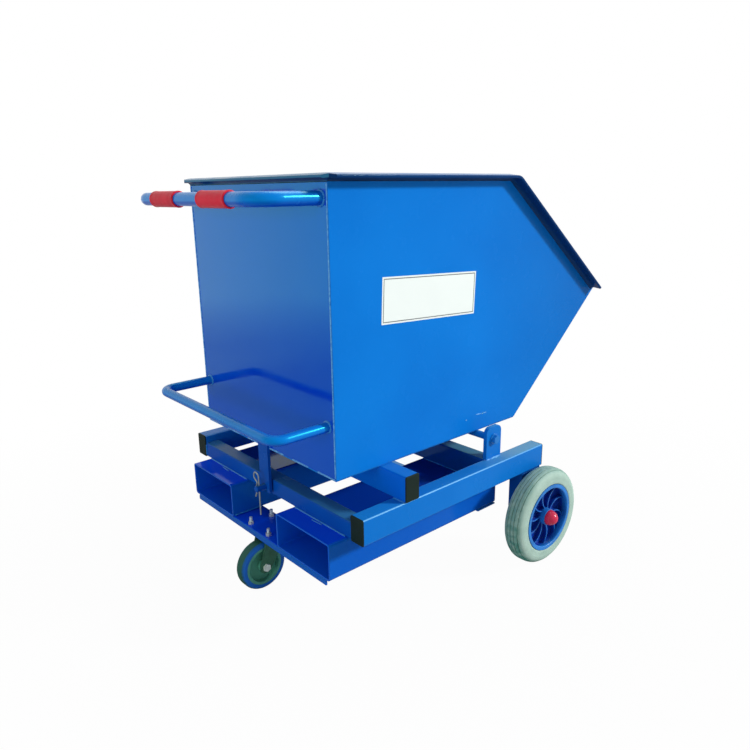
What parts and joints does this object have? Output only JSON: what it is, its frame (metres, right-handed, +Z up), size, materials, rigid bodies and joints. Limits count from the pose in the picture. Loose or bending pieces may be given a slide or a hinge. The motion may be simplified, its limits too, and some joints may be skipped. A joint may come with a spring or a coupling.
{
  "type": "tipping hopper",
  "caption": "Blue steel tipping hopper on a wheeled base with fork pockets, swivel caster, push handle, tipping loop and a clip-locked latch.",
  "frame": {"origin": "on the ground, in the middle of the overall length and width", "axes": "+X towards the pouring end, +Z up, the object's right-hand side at -Y"},
  "size_m": [1.1124, 0.88, 0.987],
  "materials": {
    "blue_paint": "gloss",
    "zinc_steel": "satin",
    "black_plastic": "matte",
    "red_plastic": "gloss",
    "grey_tyre": "matte",
    "blue_plastic": "gloss",
    "grey_plastic": "satin",
    "white_label": "satin"
  },
  "bodies": {
    "chassis": {"fork_pocket_left": "blue_paint", "fork_pocket_right": "blue_paint", "caster_channel": "blue_paint", "front_tie_bar": "blue_paint", "side_beam_left": "blue_paint", "side_beam_right": "blue_paint", "rear_crossbeam": "blue_paint", "front_crossbeam": "blue_paint", "rest_crosstube": "blue_paint", "beam_end_caps": "black_plastic", "crosstube_end_caps": "black_plastic", "pivot_bracket_left": "blue_paint", "pivot_bracket_right": "blue_paint", "pivot_bolts": "zinc_steel", "pivot_washers": "zinc_steel", "axle_leg_left": "blue_paint", "axle_leg_right": "blue_paint", "stub_axle_left": "zinc_steel", "stub_axle_right": "zinc_steel", "axle_spacers": "zinc_steel", "hub_caps": "red_plastic", "latch_stud": "zinc_steel", "caster_bolts": "zinc_steel", "caster_nuts": "zinc_steel", "caster_top_plate": "zinc_steel", "swivel_race": "zinc_steel", "caster_kingpin": "zinc_steel"},
    "hopper": {"rear_panel": "blue_paint", "side_panel_left": "blue_paint", "side_panel_right": "blue_paint", "floor_panel": "blue_paint", "chute_panel": "blue_paint", "side_rim_left": "blue_paint", "side_rim_right": "blue_paint", "rear_rim": "blue_paint", "push_handle": "blue_paint", "grip_left": "red_plastic", "grip_right": "red_plastic", "tipping_loop": "blue_paint", "latch_bar": "blue_paint", "pivot_tube": "blue_paint", "blank_label": "white_label"},
    "wheel_left": {"tyre_left": "grey_tyre", "wheel_centre_left": "blue_plastic", "wheel_bush_left": "grey_plastic"},
    "wheel_right": {"tyre_right": "grey_tyre", "wheel_centre_right": "blue_plastic", "wheel_bush_right": "grey_plastic"},
    "caster_swivel": {"caster_fork": "zinc_steel", "caster_axle_bolt": "zinc_steel", "caster_axle_nut": "zinc_steel"},
    "caster_wheel": {"caster_wheel_core": "grey_plastic", "caster_tyre": "grey_tyre", "caster_bush": "grey_plastic"},
    "clip": {"r_clip": "zinc_steel"}
  },
  "joints": [
    {"name": "hopper_tip", "type": "hinge", "parent": "chassis", "child": "hopper", "pos_m": [0.05925, 0, 0.354], "axis": [0, 1, 0], "range_deg": [0, 65]},
    {"name": "wheel_left_spin", "type": "hinge", "parent": "chassis", "child": "wheel_left", "pos_m": [0.18525, 0.3895, 0.128], "axis": [0, 1, 0], "continuous": true},
    {"name": "wheel_right_spin", "type": "hinge", "parent": "chassis", "child": "wheel_right", "pos_m": [0.18525, -0.3895, 0.128], "axis": [0, 1, 0], "continuous": true},
    {"name": "caster_turn", "type": "hinge", "parent": "chassis", "child": "caster_swivel", "pos_m": [-0.39875, 0, 0.137], "axis": [0, 0, 1], "continuous": true},
    {"name": "caster_wheel_spin", "type": "hinge", "parent": "caster_swivel", "child": "caster_wheel", "pos_m": [-0.43175, 0, 0.0625], "axis": [0, 1, 0], "continuous": true},
    {"name": "clip_pull", "type": "slide", "parent": "chassis", "child": "clip", "axis": [0, 0, 1], "range_m": [0, 0.085]}
  ]
}
